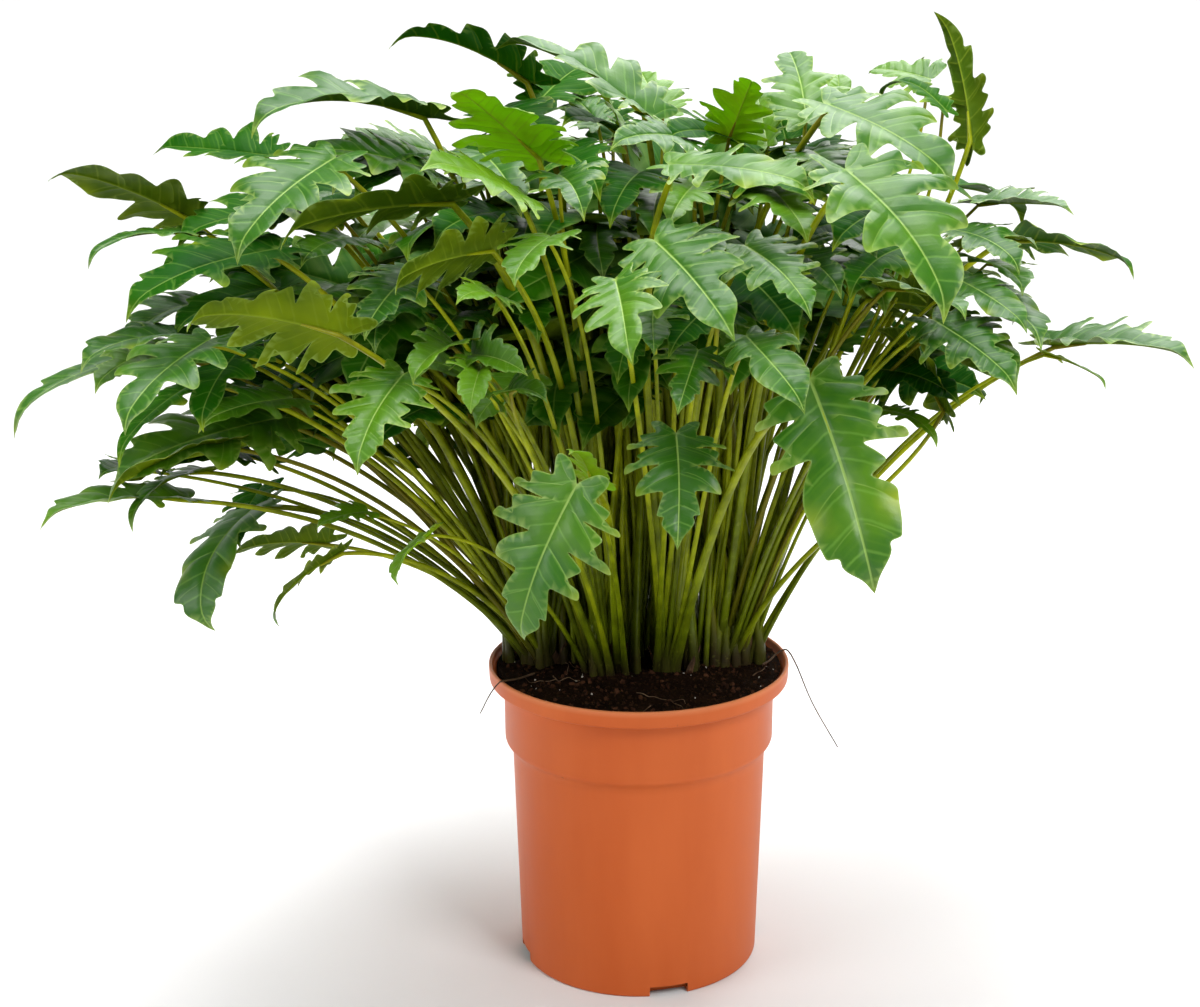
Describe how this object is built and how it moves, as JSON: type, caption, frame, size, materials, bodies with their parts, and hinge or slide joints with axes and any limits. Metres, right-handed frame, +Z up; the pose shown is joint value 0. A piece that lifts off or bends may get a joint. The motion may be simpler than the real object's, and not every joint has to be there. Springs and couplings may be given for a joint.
{
  "type": "potted philodendron",
  "caption": "Bushy house plant with deeply lobed leaves on long upright stalks, standing in a round plastic nursery pot filled with soil.",
  "frame": {"origin": "middle of the pot's flat underside, which stands on the ground", "axes": "+Z up, -Y towards the plant's front, +X to the right as seen from the front"},
  "size_m": [0.8453, 0.6934, 0.75],
  "materials": {
    "pot": "satin",
    "soil": "matte",
    "root": "matte",
    "leaf": "satin"
  },
  "bodies": {
    "root": {"pot": "pot", "soil": "soil", "root_left": "root", "root_right": "root", "shoot_left": "leaf", "shoot_front_left": "leaf", "shoot_front_right": "leaf", "shoot_right": "leaf", "shoot_back_right": "leaf", "shoot_back_left": "leaf"}
  },
  "joints": []
}
